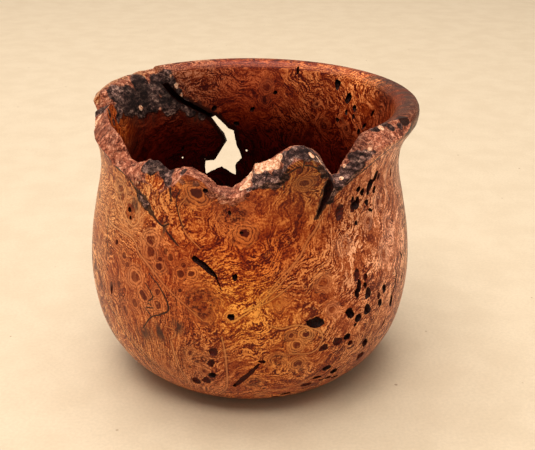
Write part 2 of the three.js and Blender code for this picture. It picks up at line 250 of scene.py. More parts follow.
# [angle, height, red, green, blue] of the polished wood, as it looks (0 to 255): its own tone, lighter
# on the right from 36 to 82 degrees, partly its pink tone and partly painted light.
OUTSIDE_TINTS_AND_LIGHT = [
    (180, 131, 134, 56, 25), (140, 131, 132, 56, 26), (100, 131, 96, 42, 22),
    (75, 131, 108, 52, 27), (-150, 131, 146, 76, 42), (-120, 128, 156, 86, 46),
    (-80, 60, 188, 99, 47), (-66, 90, 190, 101, 47), (-64, 45, 180, 93, 42),
    (-33, 80, 146, 62, 28), (-16, 64, 138, 56, 24), (-46, 62, 156, 70, 32),
    (-6, 102, 138, 56, 24), (-13, 27, 140, 62, 30), (-52, 90, 176, 92, 42),
    (-45, 98, 182, 95, 42), (-42, 78, 174, 81, 32), (-44, 58, 174, 83, 35),
    (-35, 35, 168, 84, 36), (-22, 100, 158, 72, 27), (-28, 74, 168, 72, 27),
    (-15, 96, 156, 65, 21), (-20, 62, 156, 64, 22), (-14, 40, 158, 76, 31),
    (-20, 20, 172, 86, 38), (-3, 105, 156, 65, 25), (2, 92, 162, 69, 21),
    (0, 84, 147, 52, 15), (12, 90, 148, 57, 19), (-9, 72, 174, 79, 25),
    (-5, 65, 196, 104, 32), (4, 56, 164, 76, 25), (4, 36, 162, 76, 27),
    (0, 15, 170, 80, 32), (18, 114, 141, 71, 27), (16, 102, 148, 67, 26),
    (20, 74, 166, 79, 33), (14, 46, 168, 83, 32), (24, 30, 164, 80, 34),
    (36, 100, 158, 78, 38), (40, 78, 196, 108, 60), (36, 56, 174, 86, 42),
    (42, 34, 156, 77, 35), (56, 105, 196, 106, 60), (60, 80, 204, 112, 66),
    (64, 50, 186, 98, 52), (82, 70, 182, 98, 48), (82, 20, 166, 84, 38),
    (110, 90, 176, 89, 41), (110, 40, 164, 79, 33), (140, 105, 170, 83, 37),
    (140, 66, 156, 67, 26), (145, 25, 166, 81, 33), (178, 92, 182, 96, 42),
    (175, 45, 162, 72, 27), (-150, 70, 170, 81, 33), (-150, 25, 174, 89, 38),
    (-125, 98, 158, 71, 29), (-120, 55, 178, 91, 41), (-100, 85, 174, 84, 37),
    (-95, 25, 168, 83, 36),
]
# Inside: the wood's own tone with painted shade, darker deeper in the hollow towards the floor and
# lighter by the lip.
INSIDE_TINTS_AND_SHADE = [
    (180, 131, 134, 56, 25), (140, 131, 132, 56, 26), (100, 131, 84, 34, 17), (75, 131, 94, 44, 22),
    (-150, 131, 150, 76, 44), (-120, 128, 100, 48, 26), (180, 125, 148, 54, 22), (180, 117, 128, 36, 10),
    (180, 106, 70, 12, 5), (150, 123, 190, 86, 34), (150, 112, 100, 28, 12), (125, 122, 238, 118, 50),
    (125, 110, 140, 32, 12), (110, 113, 98, 15, 6), (90, 120, 160, 62, 26), (-155, 125, 140, 60, 24),
    (-155, 112, 84, 18, 8), (-120, 108, 96, 22, 9), (-95, 112, 214, 88, 30), (-60, 108, 110, 34, 14),
    (-100, 95, 96, 16, 6),
    (0, 100, 90, 20, 9), (60, 100, 80, 14, 6), (0, 50, 54, 6, 2), (90, 60, 54, 6, 2),
    (180, 70, 46, 4, 2), (-90, 60, 60, 8, 3), (180, 92, 48, 5, 2), (-150, 88, 66, 9, 3),
    (150, 95, 62, 8, 3), (140, 108, 96, 20, 9), (120, 96, 76, 12, 5), (0, 12, 64, 10, 4),
]
# [angle, radius, height, size] of what still clings to the natural edge and the walls by it.
BARK = [
    (-109, 66, 125, 5), (-127, 67, 126, 5.5), (-138, 66, 124, 5.5), (-129, 64, 119, 6.5),
    (-121, 62, 117, 5), (-139, 61, 114, 5), (-115, 64, 121, 6.5), (-105, 67, 126, 3), (-110, 62, 120, 4),
    (-147, 64, 111, 3.5), (-150, 61, 108, 2.5), (-156, 61, 105, 2), (-103, 62, 120, 3),
    (-95, 67, 123, 2.5), (-89, 64, 123, 2), (-84, 63, 121, 1.5), (-78, 63, 122, 1), (-97, 71, 121, 2.5),
    (-99, 63, 117, 2), (-92, 62, 118, 1.5), (-42, 68, 102, 1.5), (-39, 68, 100, 1.5),
    (-41, 65, 115, 2.5), (-37, 63, 117, 3.5), (-32, 63, 114, 3), (-30, 67, 112, 2), (-31, 65, 113, 2),
    (-38, 65, 115, 2.5), (-24, 65, 116, 1.5), (2, 66, 117, 2.5), (5, 69, 116, 3), (8, 69, 115, 2.5),
    (5, 67, 118, 1.5), (9, 68, 118, 2), (10, 70, 118, 2.5), (-1, 68, 113, 1.5), (1, 69, 114, 1.5),
    (11, 69, 126, 2.5), (16, 71, 129, 4), (20, 71, 127, 4), (12, 72, 125, 2), (17, 74, 127, 2),
    (23, 71, 122, 3), (25, 69, 118, 2.5), (28, 67, 114, 2.5), (11, 72, 122, 1.5), (29, 68, 109, 2.5),
    (28, 68, 105, 2), (32, 68, 110, 2), (33, 65, 112, 2.5), (36, 66, 114, 3), (38, 68, 116, 2.5),
    (40, 69, 117, 2), (36, 68, 113, 2), (34, 67, 112, 2.5), (39, 65, 120, 1.5), (42, 70, 121, 2),
    (40, 68, 119, 1.5), (41, 67, 120, 2), (44, 72, 122, 1), (49, 67, 129, 2), (54, 67, 130, 2),
    (55, 71, 129, 1.5), (59, 73, 129, 1.5), (60, 70, 130, 1), (-141, 65, 129, 1.5), (-143, 64, 124, 1),
    (-145, 63, 119, 1.5),
]
RAW_WOOD = [
    (-23, 68, 114, 2), (-18, 68, 114, 2), (-13, 68, 110, 2.5), (-9, 68, 108, 2.5), (-6, 68, 107, 2),
    (-3, 68, 109, 2), (-48, 68, 109, 1.5), (-44, 68, 107, 1.5), (-43, 68, 109, 2), (36, 69, 111, 1.5),
]
CORK = [
    (-158, 71, 77, 2.5), (-161, 69, 76, 2), (-158, 66, 80, 1.5), (-121, 62, 116, 1.5), (-91, 69, 119, 3),
    (-89, 69, 118, 1.5), (-1, 65, 113, 2), (0, 63, 116, 2), (-3, 65, 112, 1.5), (3, 65, 120, 2.5),
    (6, 65, 121, 2.5), (9, 66, 122, 2.5), (10, 66, 124, 2), (22, 73, 124, 1.5), (21, 72, 125, 1),
    (37, 64, 116, 1), (40, 65, 118, 1), (-142, 65, 127, 1), (15, 71, 130, 1), (19, 73, 127, 1.5),
    (23, 72, 123, 1.5), (44, 70, 123, 1.5), (51, 69, 130, 1.5), (34, 66, 112, 1), (-144, 63, 122, 1.5),
    (-146, 62, 117, 1), (-43, 68, 108, 1),
]
# Grey staining in streaks along the grain, and painted shade: the blobs from -152 to -122 degrees darken
# the bark and wood of the pocket at the back left, where shade falls.
STAINS_AND_SHADE = [
    *((angle, 70, 131, 5.5) for angle in range(72, 121, 8)), (-122, 63, 119, 12), (-140, 63, 118, 9),
    (-152, 62, 108, 6), (-37, 64, 115, 4), (-38, 75, 43, 4), (-31, 75, 46, 4), (-24, 75, 51, 3),
    (-30, 69, 92, 3), (-44, 68, 98, 3),
]
# Patches of the natural surface that are smooth enough to show the wood's own figure.
BARE_WOOD = [
    *((angle, 74, 129, 4.5) for angle in range(-138, -107, 6)), (-103, 74, 125, 3.5),
    (-37, 67, 112, 3), (-34, 67, 110, 3), (18, 75, 125, 2.5), (14, 75, 123, 2), (62, 73, 130, 2.5),
    (66, 71, 131, 3.5),
]


# ---- geometry helpers ------------------------------------------------------------------

def spline(points, spacing):
    """A curve through the points (Catmull-Rom), with its points about one spacing apart."""
    knots = np.array(points, float)
    knots = np.vstack([2 * knots[0] - knots[1], knots, 2 * knots[-1] - knots[-2]])
    dense = []
    for before, start, end, after in zip(knots, knots[1:], knots[2:], knots[3:]):
        share = np.linspace(0, 1, 60, endpoint=False)[:, None]
        dense.append(0.5 * (
            2 * start + (end - before) * share
            + (2 * before - 5 * start + 4 * end - after) * share ** 2
            + (3 * start - before - 3 * end + after) * share ** 3
        ))
    dense = np.vstack(dense + [knots[-2][None]])
    length = np.concatenate([[0], np.cumsum(np.hypot(*np.diff(dense[:, :2], axis=0).T))])
    steps = max(2, round(length[-1] / spacing))
    stations = np.linspace(0, length[-1], steps + 1)
    return np.stack([np.interp(stations, length, column) for column in dense.T], axis=1)


def radius_at(wall, height):
    """Radius of a wall's curve at a height."""
    order = np.argsort(wall[:, 1])
    return np.interp(height, wall[order, 1], wall[order, 0])


def place(angle, radius, height):
    """Points in millimetres, stacked on the last axis."""
    turn = np.radians(angle)
    across = radius * np.sin(turn)
    forward = -radius * np.cos(turn)
    return np.stack(np.broadcast_arrays(across, forward, height), axis=-1)


def make_object(name, points, faces, material=None):
    mesh = bpy.data.meshes.new(name)
    mesh.from_pydata((np.asarray(points) * MM).tolist(), [], faces)
    mesh.update()
    piece = bpy.data.objects.new(name, mesh)
    bpy.context.scene.collection.objects.link(piece)
    if material:
        mesh.materials.append(material)
    return piece


def grid_faces(rows, columns, wrap_rows=False):
    """Quads of a grid whose points are numbered row by row, with its last column next to its first."""
    faces = []
    for row in range(rows if wrap_rows else rows - 1):
        here = row * columns
        above = ((row + 1) % rows) * columns
        for column in range(columns):
            beside = (column + 1) % columns
            faces.append((here + column, here + beside, above + beside, above + column))
    return faces


def fractal(points, size, octaves=3, seed=0.0):
    """Smooth noise, about -1 to 1, whose largest lumps are about size millimetres across."""
    shift = Vector((seed, seed * 1.7, -seed * 0.6))
    flat = np.asarray(points).reshape(-1, 3) / size
    values = [noise.fractal(Vector(point) + shift, 0.9, 2.1, octaves) for point in flat]
    return np.array(values).reshape(np.asarray(points).shape[:-1])


# Each cutter carries a mark, which is how the faces that it leaves are told apart.
marks = {
    name: bpy.data.materials.new("mark_" + name)
    for name in ("turned", "natural", "broken", "black", "brown")
}

outer_wall = spline(OUTER_WALL, SHELL_STEP)
lip = spline(LIP, SHELL_STEP * 0.6)
inner_wall = spline(INNER_WALL, SHELL_STEP)


def turned_shell():
    foot = spline([(2, 0), (20, 0), (38, 0)], 5)
    floor_middle = inner_wall[:-1]
    profile = np.vstack([foot[:-1], outer_wall, lip[1:], floor_middle[1:]])
    angles = np.arange(SHELL_COLUMNS) * 360 / SHELL_COLUMNS
    points = place(angles[None, :], profile[:, :1], profile[:, 1:])
    rows = len(profile)
    faces = grid_faces(rows, SHELL_COLUMNS)
    points = np.vstack([points.reshape(-1, 3), [[0, 0, 0]], [[0, 0, INNER_WALL[-1][1]]]])
    foot_centre = rows * SHELL_COLUMNS
    floor_centre = foot_centre + 1
    last = (rows - 1) * SHELL_COLUMNS
    for column in range(SHELL_COLUMNS):
        beside = (column + 1) % SHELL_COLUMNS
        faces.append((beside, column, foot_centre))
        faces.append((last + column, last + beside, floor_centre))
    return make_object("burl_vessel_turned", points, faces, marks["turned"])


def edge_heights(angles):
    """Inner, middle and outer height of the natural edge at each angle."""
    round_again = (NATURAL_EDGE[0][0] + 360, STANDING, STANDING, STANDING)
    stations = np.array(NATURAL_EDGE + [round_again], float)
    wrapped = (angles - stations[0, 0]) % 360 + stations[0, 0]
    return [np.interp(wrapped, stations[:, 0], stations[:, column]) for column in (1, 2, 3)]


def outside_the_burl():
    """Everything above the burl's own lumpy surface."""
    angles = np.linspace(0, 360, EDGE_COLUMNS, endpoint=False) - 180
    inner, middle, outer = edge_heights(angles)
    inner_radius = radius_at(inner_wall, np.minimum(inner, INNER_WALL[0][1]))
    outer_radius = radius_at(outer_wall, np.minimum(outer, OUTER_WALL[-1][1]))
    radii = np.linspace(*EDGE_RADII, EDGE_ROWS)[:, None]
    share = np.clip((radii - inner_radius) / (outer_radius - inner_radius), 0, 1)
    crown = 4 * middle - 2 * (inner + outer)
    heights = inner + (outer - inner) * share + crown * share * (1 - share)
    surface = place(angles[None, :], radii, heights)
    lumps = 0.8 * fractal(surface, 7, 3, 3.1) + 0.35 * fractal(surface, 2.2, 2, 8.4)
    bare = blob_mask(surface.reshape(-1, 3), BARE_WOOD, 1.2).reshape(lumps.shape)
    surface[..., 2] += np.where(heights < HEIGHT, lumps * (1 - 0.85 * bare), 0)
    nearest, farthest = CUTTER_RADII
    inside = place(angles, nearest, surface[0, :, 2])[None]
    outside = place(angles, farthest, surface[-1, :, 2])[None]
    lid = [place(angles, radius, CUTTER_TOP)[None] for radius in (farthest, nearest)]
    rings = np.concatenate([inside, surface, outside, *lid])
    faces = grid_faces(len(rings), EDGE_COLUMNS, wrap_rows=True)
    return make_object("cut_natural_edge", rings.reshape(-1, 3), faces, marks["natural"])


def loft(name, rings, mark):
    """A closed solid through rings of points, capped at both ends."""
    rings = np.asarray(rings)
    count, size = rings.shape[:2]
    faces = grid_faces(count, size)
    faces.append(tuple(range(size))[::-1])
    faces.append(tuple((count - 1) * size + corner for corner in range(size)))
    return make_object(name, rings.reshape(-1, 3), faces, marks[mark])


def recalculate_normals(piece):
    shape = bmesh.new()
    shape.from_mesh(piece.data)
    bmesh.ops.recalc_face_normals(shape, faces=shape.faces)
    shape.to_mesh(piece.data)
    shape.free()


DEGREE = 1.15                   # millimetres in a degree round the wall, roughly


def closed_outline(points, spacing):
    """A polygon's outline with extra points along its sides."""
    corners = np.array(points, float)
    filled = []
    for start, end in zip(corners, np.roll(corners, -1, axis=0)):
        span = np.hypot((end[0] - start[0]) * DEGREE, end[1] - start[1])
        steps = max(1, round(span / spacing))
        filled += [start + (end - start) * step / steps for step in range(steps)]
    return np.array(filled)


def wall_break():
    outline = closed_outline(WALL_BREAK, 1.2)
    rings = []
    for radius in np.linspace(55, 84, 20):
        outwards = radius - BREAK_RADIUS
        angles = outline[:, 0] + BREAK_TURN * outwards
        ring = place(angles, radius, outline[:, 1] + BREAK_DROP * outwards)
        rough = fractal(ring, 4, 3, 5.5)
        centre = ring.mean(axis=0)
        flare = BREAK_FLARE * max(outwards, 0)
        ring += (ring - centre) * (flare + BREAK_ROUGHNESS * rough[:, None])
        rings.append(ring)
    return loft("cut_wall_break", rings, "broken")


SEAM_PROUD = 2.5                # how far a seam's cutter stands out of the wall
SEAM_SHOULDER = 0.6             # share of its depth, and of its width, where its sides bend inwards


def seam(name, path, depth, wall, outward, mark):
    """A wedge that runs along a path of [angle, height, width] in a wall."""
    path = np.array(path, float)
    steps = np.hypot(np.diff(path[:, 0]) * DEGREE, np.diff(path[:, 1]))
    length = np.concatenate([[0], np.cumsum(steps)])
    stations = np.linspace(0, length[-1], round(length[-1] / 0.9) + 1)
    path = np.stack([np.interp(stations, length, path[:, axis]) for axis in range(3)], axis=1)
    middle = place(path[:, 0], radius_at(wall, path[:, 1]), path[:, 1])
    along = np.gradient(middle, axis=0)
    normal = place(path[:, 0], outward, 0)
    sideways = np.cross(normal, along)
    sideways /= np.linalg.norm(sideways, axis=1)[:, None]
    half = path[:, 2:] / 2 * (1 + 0.35 * fractal(middle, 3, 2, 1.9)[:, None])
    rings = []
    for point, out, side in zip(middle, normal, sideways * half):
        top = point + out * SEAM_PROUD
        shoulder = point - out * depth * SEAM_SHOULDER
        inset = side * SEAM_SHOULDER
        rings.append([top + side, shoulder + inset, point - out * depth, shoulder - inset, top - side])
    return loft(name, rings, mark)


def cut(piece, cutter):
    recalculate_normals(cutter)
    change = piece.modifiers.new("cut", "BOOLEAN")
    change.operation = "DIFFERENCE"
    change.object = cutter
    change.solver = "MANIFOLD"
    change.material_mode = "TRANSFER"
    dependencies = bpy.context.evaluated_depsgraph_get()
    result = bpy.data.meshes.new_from_object(piece.evaluated_get(dependencies))
    piece.modifiers.clear()
    old = piece.data
    piece.data = result
    bpy.data.meshes.remove(old)
    used = cutter.data
    bpy.data.objects.remove(cutter)
    bpy.data.meshes.remove(used)


# ---- pits and slits --------------------------------------------------------------------

# The half sizes of a pit's plug, as shares of the opening that it leaves.
PIT_ACROSS = 0.7
PIT_UP = 0.74


def pit(angle, height, width, tall, tilt, wall, outward, depth):
    """A lumpy, rounded plug centred on the wall's surface: points in millimetres, and faces."""
    shape = bmesh.new()
    bmesh.ops.create_icosphere(shape, subdivisions=2, radius=1)
    ball = np.array([vertex.co for vertex in shape.verts])
    faces = [tuple(vertex.index for vertex in face.verts) for face in shape.faces]
    shape.free()
    centre = place(angle, radius_at(wall, height), height)
    rise = place(angle, radius_at(wall, height + 0.5), height + 0.5)
    up = (rise - centre) / np.linalg.norm(rise - centre)
    across = place(angle + 90, 1, 0)
    normal = np.cross(across, up) * outward
    turn = math.radians(tilt)
    major = up * math.cos(turn) + across * math.sin(turn)
    minor = across * math.cos(turn) - up * math.sin(turn)
    lumps = 1 + 0.55 * fractal(ball * 2.2 + centre, 2.4, 2, 4.4)
    ball = ball * lumps[:, None]
    points = (
        centre + ball[:, :1] * minor * width * PIT_ACROSS + ball[:, 1:2] * major * tall * PIT_UP
        + ball[:, 2:] * normal * depth
    )
    return points, faces


def pit_batches(pits, wall, outward, deepest):
    """The pits as a few meshes, with no two touching in the same mesh."""
    batches = []
    for angle, height, width, tall, tilt in pits:
        depth = min(deepest, 0.55 * (width + tall))
        points, faces = pit(angle, height, width, tall, tilt, wall, outward, depth)
        centre = points.mean(axis=0)
        reach = np.linalg.norm(points - centre, axis=1).max()
        for batch in batches:
            if all(np.linalg.norm(centre - other) > reach + far + 0.2 for other, far, _, _ in batch):
                batch.append((centre, reach, points, faces))
                break
        else:
            batches.append([(centre, reach, points, faces)])
    for batch in batches:
        points = []
        faces = []
        for _, _, own_points, own_faces in batch:
            faces += [tuple(corner + len(points) for corner in face) for face in own_faces]
            points += own_points.tolist()
        yield points, faces


def scattered_pits(count, low_angle, high_angle, low_height, high_height, seed):
    """Small pits in loose groups, for the sides that are mostly plain."""
    draw = np.random.default_rng(seed)
    pits = []
    while len(pits) < count:
        middle = draw.uniform((low_angle, low_height), (high_angle, high_height))
        for _ in range(draw.integers(1, 6)):
            angle, height = middle + draw.normal(0, (3.2, 4))
            size = draw.uniform(1.1, 2.8)
            if low_height < height < high_height:
                pits.append((angle, height, size, size * draw.uniform(1, 1.8), draw.uniform(-30, 30)))
    return pits


def pinholes():
    turns = np.arange(8) * math.tau / 8
    for inner_end, outer_end in PINHOLES:
        rings = []
        for (angle, height), radius in zip((inner_end, outer_end), PINHOLE_ENDS):
            across = angle + np.degrees(np.cos(turns) * PINHOLE_RADIUS / radius)
            rings.append(place(across, radius, height + np.sin(turns) * PINHOLE_RADIUS))
        yield loft("cut_pinhole", rings, "black")


# ---- where things are on the surface ---------------------------------------------------

LAY_RADIUS = 72                 # the walls are laid flat as if they were a cylinder this big


def lay_flat(angle, height, wall):
    """Across and up distances in millimetres of points on a wall, laid flat."""
    order = np.argsort(wall[:, 1])
    steps = np.hypot(*np.diff(wall[order], axis=0).T)
    along = np.interp(height, wall[order, 1], np.concatenate([[0], np.cumsum(steps)]))
    return np.stack([np.radians(angle) * LAY_RADIUS, along], axis=-1)


class Surface:
    """Every face corner of the vessel: its place, its wall, and its wall laid flat."""

    def __init__(self, mesh):
        points = np.empty(len(mesh.vertices) * 3)
        mesh.vertices.foreach_get("co", points)
        vertex_of = np.empty(len(mesh.loops), int)
        mesh.loops.foreach_get("vertex_index", vertex_of)
        self.sizes = np.empty(len(mesh.polygons), int)
        mesh.polygons.foreach_get("loop_total", self.sizes)
        self.kind = np.empty(len(mesh.polygons), int)
        mesh.polygons.foreach_get("material_index", self.kind)
        self.starts = np.concatenate([[0], np.cumsum(self.sizes)[:-1]])
        self.points = (points.reshape(-1, 3) / MM)[vertex_of]
        middle = self.average(self.points)
        radius = np.hypot(middle[:, 0], middle[:, 1])
        between = (radius_at(inner_wall, middle[:, 2]) + radius_at(outer_wall, middle[:, 2])) / 2
        self.inside = (radius < between) & (middle[:, 2] > 9)
        angle = np.degrees(np.arctan2(self.points[:, 0], -self.points[:, 1]))
        face_angle = np.degrees(np.arctan2(middle[:, 0], -middle[:, 1]))
        own_angle = self.spread(face_angle)
        angle = own_angle + (angle - own_angle + 180) % 360 - 180
        self.angle = angle
        height = self.points[:, 2]
        inside = self.spread(self.inside)[:, None]
        on_inner = lay_flat(angle, height, inner_wall)
        on_outer = lay_flat(angle, height, outer_wall)
        self.flat = np.where(inside, on_inner, on_outer)
        self.face_flat = self.average(self.flat)

    def average(self, values):
        return np.add.reduceat(values, self.starts, axis=0) / self.sizes[:, None]

    def spread(self, values):
        return np.repeat(values, self.sizes, axis=0)


def eye_values(surface, eyes, inside):
    """Offsets of each corner from its face's nearest eye, as shares of the eye's size."""
    wall = inner_wall if inside else outer_wall
    table = np.array(eyes, float)
    centres = lay_flat(table[:, 0], table[:, 1], wall)
    size, flatness, tilt = table[:, 2] * EYE_SPREAD, table[:, 3], np.radians(table[:, 4])
    own = np.flatnonzero(surface.inside == inside)

    def offset(flat, eye):
        step = flat - centres[eye]
        circle = math.tau * LAY_RADIUS
        step[..., 0] = (step[..., 0] + circle / 2) % circle - circle / 2
        across = step[..., 0] * np.cos(tilt[eye]) - step[..., 1] * np.sin(tilt[eye])
        up = step[..., 0] * np.sin(tilt[eye]) + step[..., 1] * np.cos(tilt[eye])
        return np.stack([across / size[eye], up / (size[eye] * flatness[eye])], axis=-1)

    nearest = np.zeros(len(own), int)
    best = np.full(len(own), 1e9)
    for eye in range(len(table)):
        away = np.hypot(*offset(surface.face_flat[own], eye).T)
        closer = away < best
        nearest[closer] = eye
        best[closer] = away[closer]
    chosen = np.zeros(len(surface.inside), int)
    chosen[own] = nearest
    corners = surface.spread(surface.inside == inside)
    eye = surface.spread(chosen)[corners]
    values = np.zeros((len(surface.points), 3))
    look = np.zeros((len(surface.points), 3))
    values[corners, :2] = offset(surface.flat[corners], eye)
    values[corners, 2] = size[eye]
    look[corners] = table[eye, 5:8]
    return values, look


OUTER_DEGREE = 1.25             # millimetres in a degree round the outside, roughly


def scattered_eyes(count, low_angle, high_angle, low_height, high_height, seed):
    draw = np.random.default_rng(seed)
    eyes = []
    while len(eyes) < count:
        middle = draw.uniform((low_angle, low_height), (high_angle, high_height))
        for _ in range(draw.integers(1, 7)):
            angle, height = middle + draw.normal(0, (5, 6))
            size = draw.uniform(1.4, 4.2)
            clear = all(
                math.hypot((angle - eye[0]) * OUTER_DEGREE, height - eye[1]) > size + eye[2]
                for eye in eyes
            )
            if clear and low_height < height < high_height:
                eyes.append((
                    angle, height, size, draw.uniform(0.8, 1.3), draw.uniform(-20, 20),
                    draw.uniform(0.2, 1), draw.uniform(0.2, 0.9), draw.choice([0, 0, 0.4, 1]),
                ))
    return eyes


LINE_REACH = 8                  # millimetres from a line within which faces look for it
PAST_THE_END = 0.6              # a face further past a line's end than this is not beside it


def line_values(surface, lines, inside=False, widen=1.0):
    """Signed distance of each corner from its face's nearest line, in half widths, and 1 near it."""
    wall = inner_wall if inside else outer_wall
    own = surface.inside == inside
    best = np.full(len(own), 1e9)
    segment = np.zeros((len(own), 5))
    for line in lines:
        path = np.array(line, float)
        flat = lay_flat(path[:, 0], path[:, 1], wall)
        smooth = spline(np.column_stack([flat, path[:, 2]]), 1.6)
        low = smooth[:, :2].min(axis=0) - LINE_REACH
        high = smooth[:, :2].max(axis=0) + LINE_REACH
        within = (surface.face_flat > low) & (surface.face_flat < high)
        near = np.flatnonzero(own & within.all(axis=1))
        start = smooth[:-1]
        step = smooth[1:, :2] - start[:, :2]
        length = np.linalg.norm(step, axis=1)
        arm = surface.face_flat[near, None, :] - start[None, :, :2]
        share = (arm * step).sum(axis=2) / length ** 2
        inner_share = np.clip(share, 0, 1)
        away = np.linalg.norm(arm - step * inner_share[..., None], axis=2)
        which = away.argmin(axis=1)
        rows = np.arange(len(near))
        width = start[which, 2] * widen
        overshoot = np.abs(share[rows, which] - inner_share[rows, which]) * length[which]
        distance = away[rows, which] + np.where(overshoot > PAST_THE_END, 1e6, 0)
        closer = distance / width < best[near]
        chosen = near[closer]
        best[chosen] = (distance / width)[closer]
        picked = which[closer]
        segment[chosen] = np.column_stack([
            start[picked, :2], step[picked] / length[picked, None], width[closer],
        ])
    found = surface.spread(best < 1e3)
    origin, direction, width = np.split(surface.spread(segment), [2, 4], axis=1)
    arm = surface.flat - origin
    distance = arm[:, 0] * direction[:, 1] - arm[:, 1] * direction[:, 0]
    values = np.zeros((len(found), 3))
    values[:, 0] = np.where(found, distance / np.maximum(width[:, 0] / 2, 0.01), 9)
    values[:, 1] = found
    return values


def blob_mask(points, blobs, grow=1.0):
    """About 1 inside any of the blobs, 0.5 on the edge of one, and 0 well outside them."""
    value = np.zeros(len(points))
    for angle, radius, height, size in blobs:
        away = np.linalg.norm(points - place(angle, radius, height), axis=1)
        value = np.maximum(value, 1.5 - away / (size * grow))
    return np.clip(value, 0, 1)


def blended_tints(surface, tints, wall, reach):
    table = np.array(tints, float)
    centres = place(table[:, 0], radius_at(wall, table[:, 1]), table[:, 1])
    colours = (table[:, 2:] / 255) ** 2.2
    total = np.zeros(len(surface.points))
    mixed = np.zeros((len(surface.points), 3))
    for centre, colour in zip(centres, colours):
        weight = np.exp(-((surface.points - centre) ** 2).sum(axis=1) / (2 * reach ** 2)) + 1e-9
        total += weight
        mixed += weight[:, None] * colour
    return mixed / total[:, None]


def soft_step(values, middle, width):
    return 1 / (1 + np.exp(-(values - middle) / width))


# [angle, radius, height] that the grain circles at the front, the back and inside.
FRONT_HEART = (-18, 68, 112)
BACK_HEART = (175, 72, 40)
INSIDE_HEART = (-150, 66, 50)
FAN_POLE = (-62, 124)           # [angle, height] that the grain at the left fans out from


def flow_values(surface):
    """A smooth value in millimetres whose contours are the run of the grain."""
    points = surface.points

    def circling(heart):
        return np.linalg.norm(points - place(*heart), axis=1)

    arcs = circling(FRONT_HEART)
    pole = lay_flat(*FAN_POLE, outer_wall)
    fan = np.arctan2(surface.flat[:, 1] - pole[1], surface.flat[:, 0] - pole[0]) * 62
    left = soft_step(-surface.angle, 30, 5) * soft_step(surface.angle, -112, 4)
    left = left * soft_step(-points[:, 2], -86, 6)
    outside = arcs + (fan - arcs) * left
    behind = soft_step(points[:, 1], 10, 10)
    outside = outside + (circling(BACK_HEART) - outside) * behind
    flow = np.where(surface.spread(surface.inside), circling(INSIDE_HEART), outside)
    on_lip = soft_step(points[:, 2], 129.4, 0.35)
    return flow + (points[:, 1] * 0.9 - flow) * on_lip


# Where the marks come in their list.
NATURAL, BROKEN, BLACK, BROWN = 1, 2, 3, 4


def store(mesh, name, values):
    layer = mesh.attributes.new(name, "FLOAT_VECTOR" if values.ndim == 2 else "FLOAT", "CORNER")
    layer.data.foreach_set("vector" if values.ndim == 2 else "value", values.astype(np.float32).ravel())


def widened(path, extra):
    return [(angle, height, width + extra) for angle, height, width in path]


def describe_surface(mesh):
    """Store on every face corner what the wood material needs to know there."""
    surface = Surface(mesh)
    inside = surface.spread(surface.inside)[:, None]
    outer_eyes = EYES + scattered_eyes(95, 74, 286, 14, 112, 11)
    inner_eyes = scattered_eyes(60, -180, 180, 50, 120, 12)
    values, look = eye_values(surface, outer_eyes, False)
    inner_values, inner_look = eye_values(surface, inner_eyes, True)
    store(mesh, "eye", values + inner_values)
    store(mesh, "eye_look", look + inner_look)
    store(mesh, "pale_line", line_values(surface, PALE_LINES, widen=0.66))
    rim_of_break = [(angle, height, 5) for angle, height in WALL_BREAK + WALL_BREAK[:1]]
    inner_lines = line_values(surface, [rim_of_break, widened(BACK_SEAM, 3)], inside=True)
    outer_lines = line_values(surface, DARK_LINES + [widened(FRONT_CLEFT, 1.2)])
    store(mesh, "dark_line", np.where(inside, inner_lines, outer_lines))
    store(mesh, "flow", flow_values(surface))
    # The tint is the wood's own tone, with painted light on the right of the outside and painted shade
    # deep in the hollow inside.
    outside_tint_and_light = blended_tints(surface, OUTSIDE_TINTS_AND_LIGHT, outer_wall, 9)
    inside_tint_and_shade = blended_tints(surface, INSIDE_TINTS_AND_SHADE, inner_wall, 11)
    store(mesh, "tint_light_and_shade", np.where(inside, inside_tint_and_shade, outside_tint_and_light))
    natural = surface.spread(surface.kind == NATURAL)
    broken = surface.spread(surface.kind == BROKEN)
    bark = np.maximum(blob_mask(surface.points, BARK, 1.22), broken)
    bare = blob_mask(surface.points, BARE_WOOD)
    raw = np.where(natural, 1 - bare, blob_mask(surface.points, RAW_WOOD))
    cork = blob_mask(surface.points, CORK)
    store(mesh, "cover", np.stack([bark, raw, cork], axis=1))
    # Real stains, and painted shade round the pocket at the back left.
    store(mesh, "stain_and_shade", blob_mask(surface.points, STAINS_AND_SHADE))


# ---- materials -------------------------------------------------------------------------

def by_eye(red, green, blue):
    """A colour given as it looks (0 to 255), as the shader wants it."""
    return tuple((value / 255) ** 2.2 for value in (red, green, blue)) + (1,)


